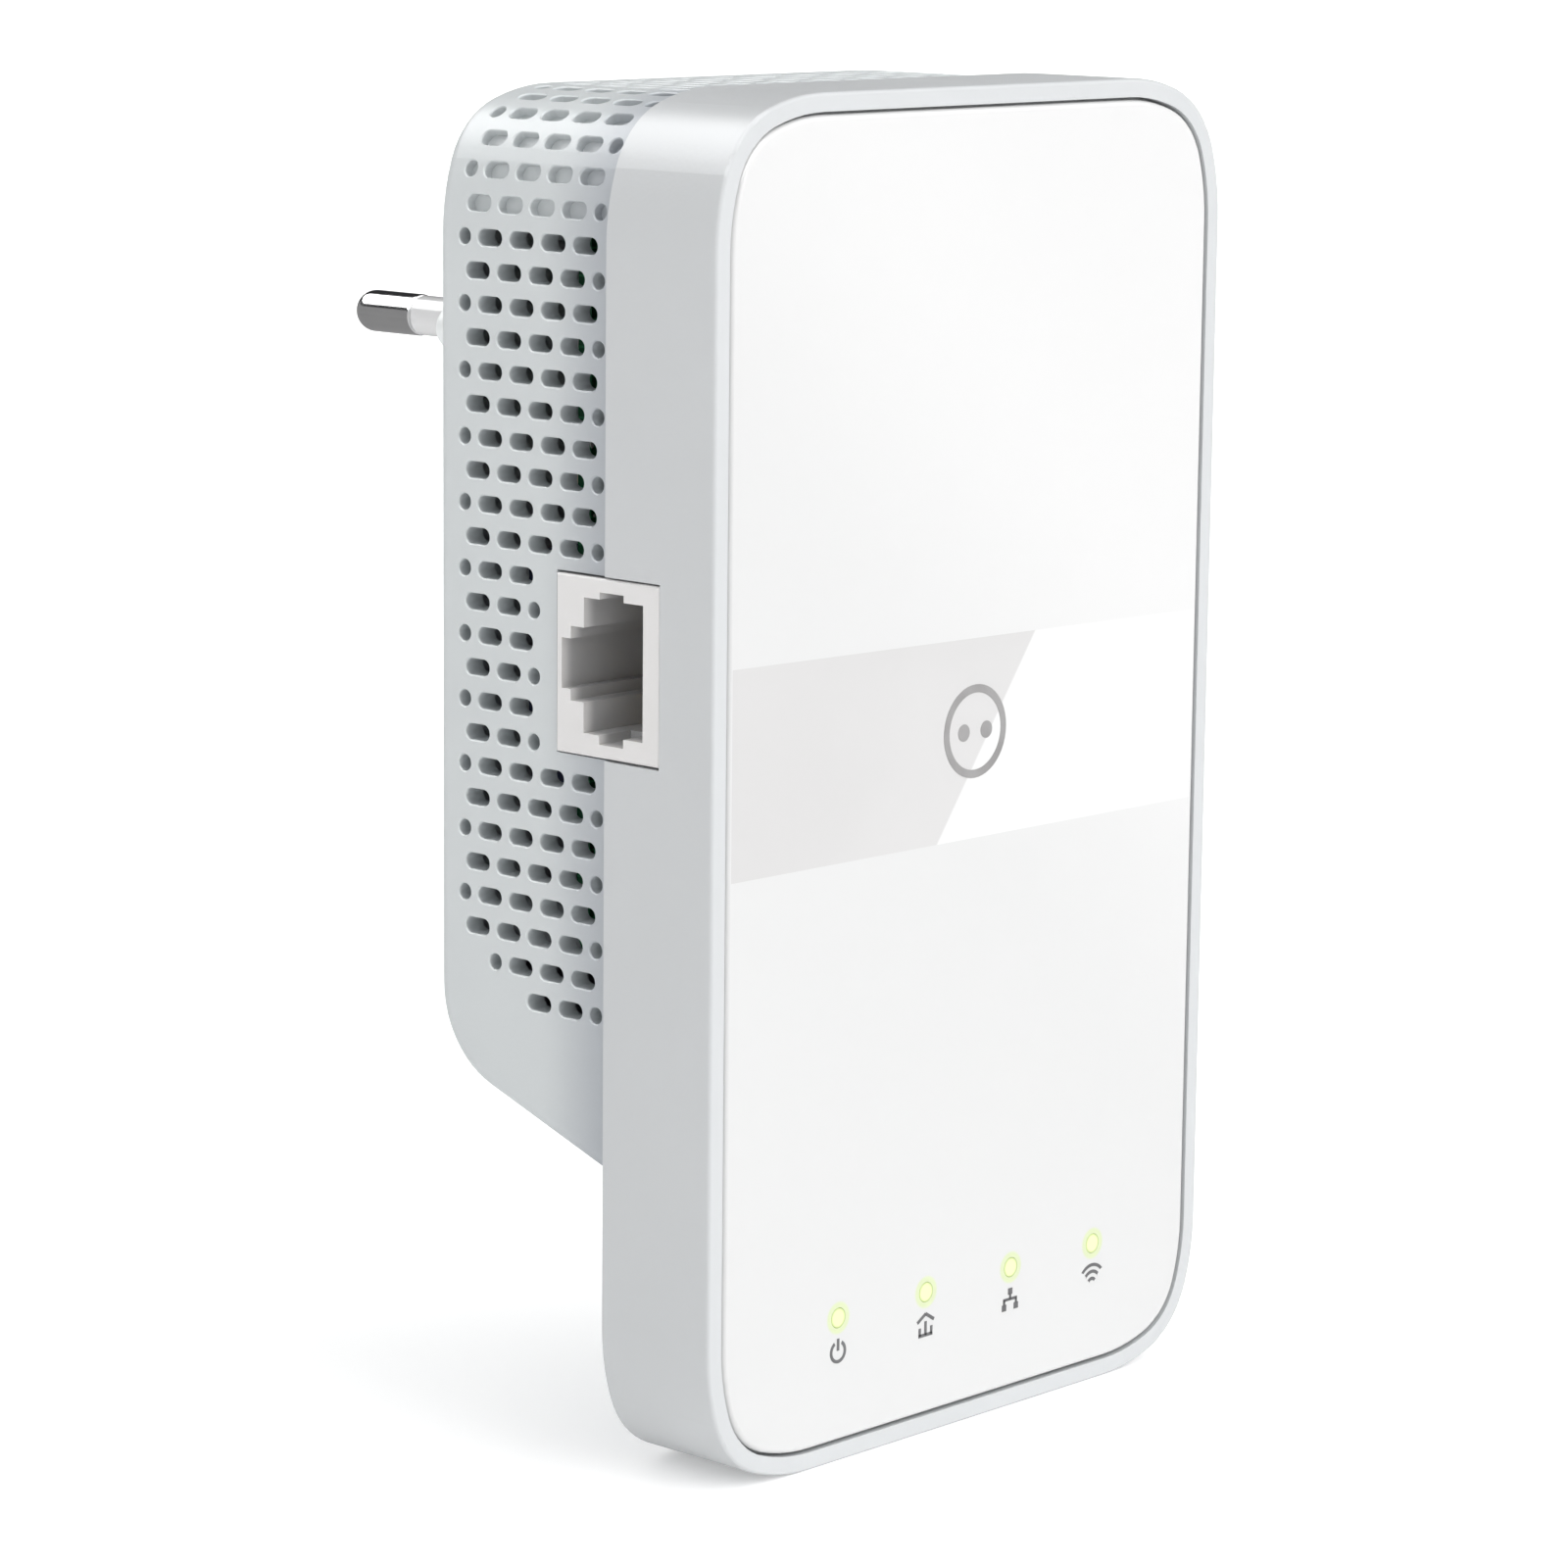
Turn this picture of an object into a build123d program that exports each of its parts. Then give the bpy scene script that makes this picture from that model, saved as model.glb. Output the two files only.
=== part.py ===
from build123d import *
from math import cos, hypot, radians, sin, sqrt
import os

# A powerline adapter. Sizes are in millimetres. The case is drawn about the centre of its
# front rim: X to the right seen from the front, Y backwards into the case, Z up. The last
# step moves every part so that the origin is the centre of the plug's face.

# Case outline: each corner is a tight arc between two gentle ones
case_width = 68.5
case_height = 123.0
gentle_radius = 20.8
tight_radius = 8.9
gentle_turn = 19.1

# Front shell and the plate set into it
front_depth = 13.05
front_wall = 1.9
rim_width = 1.7
rim_round = 0.35
plate_gap = 0.25
plate_thickness = 1.6
plate_round = 0.5
floor_thickness = 1.2

# Gloss band across the plate: lower and upper height at each end
band_left = (-6.2, 12.55)
band_right = (-6.7, 11.35)
band_thickness = 0.15

# Rear shell
rear_inset = 0.5
rear_wall = 2.2
back_depth = 34.8
back_round = 1.5
slope_start = -34.35
slope_rise = 0.356
slope_round = 9.5
tongue_inset = 2.0
tongue_wall = 1.2
tongue_start = 11.05
tongue_end = 14.5
label_width = 40.0
label_heights = (-12.0, 18.0)
label_thickness = 0.12

# Vent holes
slot_length = 3.0
slot_width = 1.5
slot_pitch = 3.94
slot_rim = 0.12
even_row_start = 28.0
odd_row_start = 29.55
row_pitch = 2.954
top_row_height = 48.0
last_row = 23
first_short_row = 21
rows_over_top = 14
jack_rows = range(10, 16)
through_depth = 3.4
blind_depth = 1.0

# Plug
plug_height = 37.35
plug_face = 52.0
plug_width = 35.3
plug_thickness = 13.7
plug_tip_round = 2.0
plug_edge_round = 0.4
plug_clearance = 0.1
flange_margin = 2.0
flange_thickness = 2.0
pin_spacing = 18.6
pin_radius = 2.0
pin_end = 70.75
sleeve_end = 62.3
sleeve_radius = 1.9
sleeve_end_round = 0.25
pin_root_round = 0.3
sleeve_root = 48.0
shank_radius = 1.5
shank_start = 28.0
terminal_width = 5.0
terminal_thickness = 0.8
terminal_reach = 8.65
fit_gap = 0.05

# Boards
board_thickness = 1.6
main_board_front = 4.8
main_board_inset = 3.4
power_board_front = 20.0
power_board_width = 58.0
power_board_heights = (-19.0, 54.0)
power_board_round = 6.0
sheet_thickness = 0.3
sheet_margin = 2.0
sheet_end_margin = 7.0

# Network socket, in the left side
jack_face = -34.2
jack_back = -16.0
jack_front = 6.4
jack_rear = 19.1
jack_heights = (3.4, 19.27)
jack_gap = 0.2
jack_rear_gap = 0.35
socket_end = -20.8
socket_depths = (8.44, 15.67)
socket_heights = (5.4, 17.43)
latch_depths = (15.6, 17.28)
latch_heights = (8.12, 14.74)
latch_seat_depths = (17.2, 18.4)
latch_seat_heights = (9.12, 13.61)
guide_depths = (10.8, 13.75)
guide_heights = (4.6, 18.07)
guide_length = 4.0
contact_count = 8
contact_pitch = 1.02
contact_width = 0.5
contact_thickness = 0.4
contact_bed = 7.6
contact_tail = -19.4
contact_bend = -31.4
contact_tip = (-22.8, 10.8)

# Buttons and the reset switch, in the right side
button_depth = 8.2
button_width = 4.0
button_length = 10.0
button_proud = 0.6
button_gap = 0.15
flange_reach = 0.6
flange_web = 0.8
pair_height = 16.0
wifi_height = 1.0
reset_height = -11.0
pinhole_radius = 0.7
switch_depth = 3.6
switch_tall = 3.5
switch_wide = 6.0
switch_face = 29.6
plunger_radius = 0.8
plunger_root = 0.7
plunger_travel_room = 0.7
reset_end = 30.95

# Status lights
light_count = 4
light_pitch = 11.95
light_row_centre = 0.69
light_height = -48.04
light_radius = 0.9
guide_radius = 1.3
led_size = 0.8
shroud_margin = 2.5

# Screws and what they fasten
case_boss_x = 26.0
case_boss_z = -45.5
case_boss_radius = 3.0
case_head = 2.2
case_seat_drop = 0.9
post_radius = 2.6
pilot_radius = 0.9
thread_radius = 0.85
board_head = 1.9
board_head_height = 1.1
board_hole = 1.1
main_posts = [(-26.0, -36.0), (26.0, -36.0), (-26.0, 47.0), (26.0, 47.0)]
power_posts = [(-25.5, -15.0), (25.5, -15.0), (-25.5, 50.0), (25.5, 50.0)]

# Chips on the back of the main board: middle X and Z, width, height, thickness
chips = {
    "powerline_chip": (2, -18, 14, 14, 1.2),
    "wifi_chip": (-1, 33, 9, 9, 0.9),
    "memory_chip": (-21, -18, 8, 11, 1.1),
    "flash_chip": (-21, -32, 5, 6, 1.6),
    "crystal": (-17, -6, 5, 3.2, 1.1),
    "ethernet_transformer": (-7, 11, 12, 14, 6),
}
pad_thickness = 0.6
sink_width = 22.0
sink_length = 20.0
sink_base = 2.0
sink_height = 8.5
fin_count = 7
fin_thickness = 1.0
shield_width = 20.0
shield_length = 18.0
shield_height = 2.4
shield_wall = 0.3
antenna_start = 4.0
antenna_length = 20.0
antenna_width = 5.0
antenna_height = 49.5
antenna_lift = 4.0
antenna_wall = 0.3

# Board-to-board link
link_pitch = 2.54
link_columns = 4
link_rows = 2
link_corner = (11.5, -4.0)
link_pin = 0.32
link_margin = 1.6
link_body = 8.5

# Boxed parts on the back of the power board: left, bottom, width, height, thickness, rounding
boxed_parts = {
    "safety_capacitor": (-7, 47, 13, 6, 10.5, 0.6),
    "bridge_rectifier": (-5, 18, 6, 7, 2.5, 0.3),
    "coupling_transformer": (3, 14, 10, 10, 9, 0.5),
    "optocoupler": (21.5, -4, 4.6, 6.5, 3.5, 0.3),
}
# Round parts lying along X on the power board: left, middle height, radius, length
bulk_cans = [(-26, 15, 5, 18), (-26, 3.5, 5, 18)]
output_cans = [(-20, -7, 3.15, 11), (-20, -14, 3.15, 11)]
fuse_body = (-27, 26, 2.6, 9)
varistor_body = (21, 26, 4.1, 3.5)
can_groove = (2.0, 2.8)
can_groove_depth = 0.4
core_corner = (1.0, -14.0)
core_size = 18.0
core_thickness = 5.0
core_lift = 3.0
core_leg = 3.0
winding_thickness = 10.7
choke_middle = (20.5, 11.0)
choke_radius = 6.5
choke_bore = 2.6
choke_thickness = 5.0
choke_round = 1.6

inner_side = case_width / 2 - front_wall
back_inside = back_depth - rear_wall
floor_back = plate_thickness + floor_thickness
main_board_back = main_board_front + board_thickness
power_board_back = power_board_front + board_thickness


def block(x, y, z):
    """A box between two X, two Y and two Z values."""
    size = Box(x[1] - x[0], y[1] - y[0], z[1] - z[0])
    return Pos((x[0] + x[1]) / 2, (y[0] + y[1]) / 2, (z[0] + z[1]) / 2) * size


def around(middle, size):
    """The range of a given size about a middle value."""
    return (middle - size / 2, middle + size / 2)


def rod_y(x, z, radius, start, end):
    """A round rod along Y."""
    return Pos(x, (start + end) / 2, z) * Rot(X=90) * Cylinder(radius, end - start)


def rod_x(y, z, radius, start, end):
    """A round rod along X."""
    return Pos((start + end) / 2, y, z) * Rot(Y=90) * Cylinder(radius, end - start)


def slab(face, start, end):
    """A face drawn in X and Z, made solid between two depths."""
    return extrude(Pos(0, start, 0) * (Plane.XZ * face), amount=end - start, dir=(0, 1, 0))


def back_edges(body):
    """The edges round a body's rearmost face."""
    return body.faces().sort_by(Axis.Y)[-1].edges()


def quarter_path(inset, start):
    """The case outline from a height on the right side to the top centre."""
    half_width = case_width / 2 - inset
    half_height = case_height / 2 - inset
    gentle = gentle_radius - inset
    tight = tight_radius - inset
    turn = radians(gentle_turn)
    run = gentle * (sin(turn) + 1 - cos(turn)) + tight * (cos(turn) - sin(turn))
    side = Line((half_width, start), (half_width, half_height - run))
    first = JernArc(side @ 1, side % 1, gentle, gentle_turn)
    middle = JernArc(first @ 1, first % 1, tight, 90 - 2 * gentle_turn)
    last = JernArc(middle @ 1, middle % 1, gentle, gentle_turn)
    top = Line(last @ 1, (0, half_height))
    return [side, first, middle, last, top]


def case_face(inset):
    """The whole case outline, drawn smaller by an inset."""
    quarter = Curve() + quarter_path(inset, 0)
    half = quarter + mirror(quarter, Plane.YZ)
    return make_face(half + mirror(half, Plane.XZ))


def front_shell():
    body = slab(case_face(0), 0, front_depth)
    body = fillet(body.faces().sort_by(Axis.Y)[0].edges(), rim_round)
    body -= slab(case_face(rim_width), 0, plate_thickness)
    body -= slab(case_face(front_wall), floor_back, front_depth)
    for x in (-case_boss_x, case_boss_x):
        body += rod_y(x, case_boss_z, case_boss_radius, floor_back, tongue_start)
        body -= rod_y(x, case_boss_z, pilot_radius, floor_back + 1, tongue_start)
    for x, z in main_posts:
        body += rod_y(x, z, post_radius, floor_back, main_board_front)
        body -= rod_y(x, z, pilot_radius, floor_back - floor_thickness / 2, main_board_front)
    for x in light_places():
        body -= rod_y(x, light_height, guide_radius + 0.1, plate_thickness, floor_back)
    body -= jack_hole()
    for height in (pair_height, wifi_height):
        hole = button_face(button_width + 2 * button_gap, button_length + 2 * button_gap)
        body -= Pos(inner_side - 1, button_depth, height) * extrude(hole, amount=front_wall + 2)
    body -= rod_x(button_depth, reset_height, pinhole_radius, inner_side - 1, case_width / 2 + 1)
    return body


def front_plate():
    body = slab(case_face(rim_width + plate_gap), 0, plate_thickness)
    body = fillet(body.faces().sort_by(Axis.Y)[0].edges(), plate_round)
    body -= gloss_band()
    for x in light_places():
        body -= rod_y(x, light_height, light_radius + fit_gap, 0, plate_thickness)
    return body


def gloss_band():
    """A thin inlaid strip across the plate, a little taller at its left end."""
    half_width = case_width / 2
    strip = Polyline(
        (-half_width, band_left[0]),
        (half_width, band_right[0]),
        (half_width, band_right[1]),
        (-half_width, band_left[1]),
        close=True,
    )
    body = slab(make_face(strip), 0, band_thickness)
    return body & slab(case_face(rim_width + plate_gap + plate_round), 0, band_thickness)


def rear_body(inset, back, thinner):
    """The rear shell's solid form down to its sloping underside, thinner on all sides."""
    lift = thinner * hypot(1, slope_rise)
    corner_height = slope_start + lift + slope_rise * (back - front_depth)
    outline = Polyline(
        (front_depth, slope_start + lift),
        (back, corner_height),
        (back, case_height),
        (front_depth, case_height),
        close=True,
    )
    face = make_face(outline)
    corner = face.vertices().sort_by(Axis.Y)[:2].sort_by(Axis.X)[-1]
    face = fillet(corner, slope_round - thinner)
    sideways = Plane((0, 0, 0), x_dir=(0, 1, 0), z_dir=(1, 0, 0))
    profile = extrude(sideways * face, amount=case_width, both=True)
    return slab(case_face(inset + thinner), front_depth, back) & profile


def is_back_edge(edge):
    """True for the outer edges round the back and down both sides of the slope."""
    run = edge.tangent_at(0.5)
    at_parting = edge.center().Y < front_depth + 0.01
    lengthways = abs(run.Y) > 0.999
    across_underside = abs(run.X) > 0.999 and edge.center().Z < 0
    return not (at_parting or lengthways or across_underside)


def tongue():
    """The lip inside the front shell, closed below the slope as the lower back wall."""
    everywhere = (-case_width, case_width)
    depths = (tongue_start, tongue_end)
    body = slab(case_face(tongue_inset), *depths)
    window = slab(case_face(tongue_inset + tongue_wall), *depths)
    body -= window & block(everywhere, depths, (slope_start + rear_wall + 0.4, case_height))
    return body - block(everywhere, (front_depth, tongue_end), (-case_height, slope_start + 1))


def rear_shell():
    body = rear_body(rear_inset, back_depth, 0)
    body = fillet(body.edges().filter_by(is_back_edge), back_round)
    body -= rear_body(rear_inset, back_inside, rear_wall)
    body += tongue()
    for x, z in power_posts:
        body += rod_y(x, z, post_radius, power_board_back, back_inside)
        body -= rod_y(x, z, pilot_radius, power_board_back, back_inside - 1)
    for x in (-case_boss_x, case_boss_x):
        body -= rod_y(x, case_boss_z, board_hole, tongue_start, front_depth)
        seat = tongue_start + case_seat_drop
        body -= rod_y(x, case_boss_z, case_head + 0.2, seat, front_depth)
    body -= jack_hole()
    body -= Pos(0, 0, plug_height) * slab(plug_outline(plug_clearance), back_inside, back_depth)
    return body - vent_cutters()


def row_holes(row, beside_jack):
    """Hole centres of one vent row, as depth and whether the hole is long."""
    even = row % 2 == 0
    start = even_row_start if even else odd_row_start
    first = max(0, row - first_short_row)
    last = 1 if beside_jack and row in jack_rows else 3
    holes = [(start - place * slot_pitch, True) for place in range(first, last + 1)]
    half_run = (slot_length - slot_width) / 2
    if even:
        holes.append((start - (first - 1) * slot_pitch - half_run, False))
    else:
        holes.append((start - (last + 1) * slot_pitch + half_run, False))
    return holes


def vent_cutter(is_long, depth):
    """One vent hole about the origin, opening along +Z with a bevelled rim."""
    if is_long:
        mouth = SlotOverall(slot_length + 2 * slot_rim, slot_width + 2 * slot_rim)
        throat = SlotOverall(slot_length, slot_width)
    else:
        mouth = Circle(slot_width / 2 + slot_rim)
        throat = Circle(slot_width / 2)
    cutter = extrude(throat, amount=-depth) + extrude(mouth, amount=1)
    return cutter + extrude(mouth, amount=-slot_rim, taper=45)


def vent_cutters():
    """Cutters for the rows up both sides and over the top."""
    path = Wire(quarter_path(rear_inset, slope_start))
    top_row = top_row_height - slope_start
    top_pitch = (path.length - top_row) / rows_over_top
    cutters = []
    for row in range(-rows_over_top, last_row + 1):
        pitch = top_pitch if row < 0 else row_pitch
        along = min(top_row - row * pitch, path.length)
        point = path.position_at(along, position_mode=PositionMode.LENGTH)
        run = path.tangent_at(along, position_mode=PositionMode.LENGTH)
        depth = blind_depth if row < 0 else through_depth
        for side in (1,) if row == -rows_over_top else (1, -1):
            for hole_depth, is_long in row_holes(row, side < 0):
                spot = (side * point.X, hole_depth, point.Y)
                place = Plane(spot, x_dir=(0, 1, 0), z_dir=(side * run.Y, 0, -run.X))
                cutters.append(place * vent_cutter(is_long, depth))
    return cutters


def jack_hole():
    """The opening for the network socket in the left side."""
    return block(
        (-case_width, -inner_side + 4),
        (jack_front, jack_rear + jack_rear_gap),
        (jack_heights[0] - jack_gap, jack_heights[1] + jack_gap),
    )


def plug_outline(margin):
    """The plug's flattened hexagon, with slants at 45 degrees, drawn larger by a margin."""
    half_width = plug_width / 2 + plug_tip_round * (sqrt(2) - 1) + margin * sqrt(2)
    half_height = plug_thickness / 2 + margin
    half_flat = half_width - half_height
    outline = Polyline(
        (half_width, 0),
        (half_flat, half_height),
        (-half_flat, half_height),
        (-half_width, 0),
        (-half_flat, -half_height),
        (half_flat, -half_height),
        close=True,
    )
    face = make_face(outline)
    return fillet(face.vertices(), plug_tip_round + margin)


def plug_base():
    body = slab(plug_outline(0), back_inside, plug_face)
    body = fillet(back_edges(body), plug_edge_round)
    body += slab(plug_outline(flange_margin), back_inside - flange_thickness, back_inside)
    for x in (-pin_spacing / 2, pin_spacing / 2):
        body -= rod_y(x, 0, shank_radius + fit_gap, shank_start, plug_face)
        body -= rod_y(x, 0, sleeve_radius + fit_gap, sleeve_root, plug_face)
    return Pos(0, 0, plug_height) * body


def pin(x):
    """A plug pin: a round-nosed tip on a thinner shank."""
    tip = rod_y(x, plug_height, pin_radius, sleeve_end, pin_end)
    tip = fillet(back_edges(tip), pin_radius - 0.05)
    tip = fillet(tip.faces().sort_by(Axis.Y)[0].edges(), pin_root_round)
    return tip + rod_y(x, plug_height, shank_radius, shank_start, sleeve_end)


def pin_sleeve(x):
    body = rod_y(x, plug_height, sleeve_radius, sleeve_root, sleeve_end)
    body = fillet(back_edges(body), sleeve_end_round)
    return body - rod_y(x, plug_height, shank_radius + fit_gap, sleeve_root, sleeve_end)


def terminal(x):
    """A bent strip from a pin's inner end down to the power board."""
    across = around(x, terminal_width)
    plate_front = shank_start - terminal_thickness
    top = plug_height + terminal_reach
    plate = block(across, (plate_front, shank_start), (plug_height - terminal_width / 2, top))
    return plate + block(across, (power_board_back, plate_front), (top - terminal_thickness, top))


def main_board():
    body = slab(case_face(main_board_inset), main_board_front, main_board_back)
    for x in (-case_boss_x, case_boss_x):
        body -= rod_y(x, case_boss_z, case_boss_radius + 0.4, main_board_front, main_board_back)
    for x, z in main_posts:
        body -= rod_y(x, z, board_hole, main_board_front, main_board_back)
    return body


def power_board():
    middle = sum(power_board_heights) / 2
    outline = Rectangle(power_board_width, power_board_heights[1] - power_board_heights[0])
    outline = fillet(outline.vertices(), power_board_round)
    body = Pos(0, 0, middle) * slab(outline, power_board_front, power_board_back)
    for x, z in power_posts:
        body -= rod_y(x, z, board_hole, power_board_front, power_board_back)
    return body


def insulation_sheet():
    """A film just in front of the power board, open round the board-to-board link."""
    back = power_board_front - sheet_thickness
    depths = (back - sheet_thickness, back)
    low, high = power_board_heights
    half_width = power_board_width / 2 - sheet_margin
    body = block((-half_width, half_width), depths, (low + sheet_end_margin, high - sheet_end_margin))
    body = fillet(body.edges().filter_by(Axis.Y), sheet_margin)
    across, up = link_footprint(2 * link_margin)
    return body - block(across, depths, up)


def screw(x, z, head_radius, seat, head_height, length):
    """A cross-head screw along Y, driven forwards, with its head on a seat."""
    top = seat + head_height
    head = rod_y(x, z, head_radius, seat, top)
    head = fillet(back_edges(head), head_height * 0.45)
    long_way, short_way = 1.2 * head_radius, 0.4
    recess = (top - short_way, top)
    head -= block(around(x, long_way), recess, around(z, short_way))
    head -= block(around(x, short_way), recess, around(z, long_way))
    return head + rod_y(x, z, thread_radius, seat - length, seat)


def case_screws():
    seat = tongue_start + case_seat_drop
    places = (-case_boss_x, case_boss_x)
    return Compound([screw(x, case_boss_z, case_head, seat, 1, 6.5) for x in places])


def board_screws():
    seat = main_board_back
    return Compound([screw(x, z, board_head, seat, board_head_height, 3.8) for x, z in main_posts])


def power_board_screws():
    """The board screws turned round, driven backwards from the front of the power board."""
    screws = []
    for x, z in power_posts:
        turned = mirror(screw(x, z, board_head, 0, board_head_height, 6), Plane.XZ)
        screws.append(Pos(0, power_board_front, 0) * turned)
    return Compound(screws)


def ethernet_jack():
    body = block((jack_face, jack_back), (jack_front, jack_rear), jack_heights)
    body = chamfer(body.faces().sort_by(Axis.X)[0].edges(), 0.15)
    inwards = (jack_face, socket_end)
    body -= block(inwards, socket_depths, socket_heights)
    body -= block(inwards, latch_depths, latch_heights)
    body -= block(inwards, latch_seat_depths, latch_seat_heights)
    body -= block((jack_face, jack_face + guide_length), guide_depths, guide_heights)
    bed_heights = around(sum(jack_heights) / 2, contact_count * contact_pitch)
    bed_front = contact_bed - contact_thickness
    body -= block((contact_bend - 0.4, contact_tail + 0.4), (bed_front, socket_depths[0]), bed_heights)
    body -= block(around(contact_tail, 0.8), (jack_front, bed_front), bed_heights)
    return body


def ethernet_contacts():
    """Spring wires, each from the board, forward along the socket's floor and back up."""
    path = FilletPolyline(
        (contact_tail, jack_front),
        (contact_tail, contact_bed),
        (contact_bend, contact_bed),
        contact_tip,
        radius=contact_thickness,
    )
    wire = extrude(trace(path, contact_thickness), amount=contact_width)
    middle = sum(jack_heights) / 2 - contact_width / 2
    first = middle - (contact_count - 1) / 2 * contact_pitch
    return Compound([Pos(0, 0, first + n * contact_pitch) * wire for n in range(contact_count)])


def button_face(width, length):
    """A pill outline facing +X, for buttons and the holes they sit in."""
    outward = Plane((0, 0, 0), x_dir=(0, 1, 0), z_dir=(1, 0, 0))
    return outward * RectangleRounded(width, length, width / 2 - 0.2)


def button(height):
    """A cap that stands through the side wall, with a flange that stops behind it."""
    cap = extrude(button_face(button_width, button_length), amount=fit_gap + front_wall + button_proud)
    cap = fillet(cap.faces().sort_by(Axis.X)[-1].edges(), 0.4)
    wide = button_face(button_width + 2 * flange_reach, button_length + 2 * flange_reach)
    return Pos(inner_side - fit_gap, button_depth, height) * (cap + extrude(wide, amount=-flange_web))


def plunger(height, end):
    return rod_x(button_depth, height, plunger_radius, switch_face - plunger_root, end)


def tact_switch(height):
    body = block(
        (switch_face - switch_depth, switch_face),
        (main_board_back, main_board_back + switch_tall),
        around(height, switch_wide),
    )
    body = chamfer(body.faces().sort_by(Axis.X)[-1].edges(), 0.2)
    bore_end = switch_face - plunger_root - plunger_travel_room
    return body - rod_x(button_depth, height, plunger_radius + fit_gap, bore_end, switch_face)


def light_places():
    """X of each status light."""
    first = light_row_centre - (light_count - 1) / 2 * light_pitch
    return [first + n * light_pitch for n in range(light_count)]


def status_leds():
    """Surface-mounted LEDs, each a body with a smaller lens towards the guide."""
    leds = []
    body_front = main_board_front - 0.6 * led_size
    for x in light_places():
        up = around(light_height, led_size)
        body = block(around(x, 2 * led_size), (body_front, main_board_front), up)
        leds.append(body + block(around(x, led_size), (main_board_front - led_size, body_front), up))
    return Compound(leds)


def light_guides():
    guides = []
    for x in light_places():
        tip = rod_y(x, light_height, light_radius, 0, plate_thickness)
        root_end = main_board_front - led_size - 0.1
        guides.append(tip + rod_y(x, light_height, guide_radius, plate_thickness, root_end))
    return Compound(guides)


def light_shroud():
    """An opaque bar that keeps each light's glow to its own guide."""
    places = light_places()
    body = block(
        (places[0] - shroud_margin, places[-1] + shroud_margin),
        (floor_back, main_board_front - 0.1),
        around(light_height, 2 * shroud_margin),
    )
    for x in places:
        body -= rod_y(x, light_height, guide_radius + 0.1, floor_back, main_board_front)
    return body


def chip(x, z, width, height, thickness):
    """A flat component on the back of the main board."""
    depths = (main_board_back, main_board_back + thickness)
    body = block(around(x, width), depths, around(z, height))
    return chamfer(back_edges(body), min(0.2, thickness / 4))


def thermal_pad():
    x, z, width, height, thickness = chips["powerline_chip"]
    front = main_board_back + thickness
    return block(around(x, width - 2), (front, front + pad_thickness), around(z, height - 2))


def heat_sink():
    """A finned block over the powerline chip."""
    x, z, width, height, thickness = chips["powerline_chip"]
    front = main_board_back + thickness + pad_thickness
    up = around(z, sink_length)
    body = block(around(x, sink_width), (front, front + sink_base), up)
    left = x - sink_width / 2
    fin_pitch = (sink_width - fin_thickness) / (fin_count - 1)
    for n in range(fin_count):
        fin = (left + n * fin_pitch, left + n * fin_pitch + fin_thickness)
        body += block(fin, (front + sink_base, front + sink_height), up)
    return body


def radio_shield():
    """A pressed tin lid over the radio chip."""
    x, z = chips["wifi_chip"][:2]
    back = main_board_back + shield_height
    outer = block(around(x, shield_width), (main_board_back, back), around(z, shield_length))
    outer = fillet(back_edges(outer), 0.4)
    inside_width = shield_width - 2 * shield_wall
    inside_length = shield_length - 2 * shield_wall
    depths = (main_board_back, back - shield_wall)
    return outer - block(around(x, inside_width), depths, around(z, inside_length))


def antenna(side):
    """A stamped strip aerial on two feet, at a top corner of the main board."""
    strip = (antenna_start, antenna_start + antenna_length)
    lifted = main_board_back + antenna_lift
    up = (antenna_height, antenna_height + antenna_width)
    body = block(strip, (lifted, lifted + antenna_wall), up)
    for foot in (antenna_start, 2 * antenna_start):
        foot_up = (antenna_height, antenna_height + antenna_width / 3)
        body += block((foot, foot + antenna_wall), (main_board_back, lifted), foot_up)
    return body if side > 0 else mirror(body, Plane.YZ)


def link_footprint(margin):
    """X and Z ranges round the link's pins."""
    left, bottom = link_corner
    across = (left - margin, left + (link_columns - 1) * link_pitch + margin)
    up = (bottom - margin, bottom + (link_rows - 1) * link_pitch + margin)
    return across, up


def link_places():
    left, bottom = link_corner
    columns = [left + n * link_pitch for n in range(link_columns)]
    rows = [bottom + n * link_pitch for n in range(link_rows)]
    return [(x, z) for x in columns for z in rows]


def board_header():
    across, up = link_footprint(link_margin)
    depths = (main_board_back, main_board_back + link_body)
    body = block(across, depths, up)
    bore = 2 * (link_pin + fit_gap)
    for x, z in link_places():
        body -= block(around(x, bore), depths, around(z, bore))
    return body


def header_pins():
    depths = (main_board_back, power_board_front)
    side = 2 * link_pin
    return Compound([block(around(x, side), depths, around(z, side)) for x, z in link_places()])


def lying_rod(x, z, radius, length):
    """A round component lying along X on the power board."""
    return rod_x(power_board_back + radius + fit_gap, z, radius, x, x + length)


def can(x, z, radius, length):
    """A capacitor can with a rounded end and a pressed groove."""
    body = lying_rod(x, z, radius, length)
    body = fillet(body.faces().sort_by(Axis.X)[-1].edges(), 0.6)
    middle = power_board_back + radius + fit_gap
    start, end = x + can_groove[0], x + can_groove[1]
    core = rod_x(middle, z, radius - can_groove_depth, start, end)
    return body - (rod_x(middle, z, radius, start, end) - core)


def transformer_windows():
    """The two openings beside the core's middle leg, as X ranges, and their Z range."""
    left, bottom = core_corner
    opening = (core_size - 3.6 * core_leg) / 2
    first = (left + core_leg, left + core_leg + opening)
    second = (left + core_size - core_leg - opening, left + core_size - core_leg)
    return first, second, (bottom + core_leg, bottom + core_size - core_leg)


def transformer_core():
    """Two ferrite E cores end to end, lying on the power board."""
    left, bottom = core_corner
    front = power_board_back + core_lift
    depths = (front, front + core_thickness)
    first, second, up = transformer_windows()
    body = block((left, left + core_size), depths, (bottom, bottom + core_size))
    return body - block(first, depths, up) - block(second, depths, up)


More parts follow.
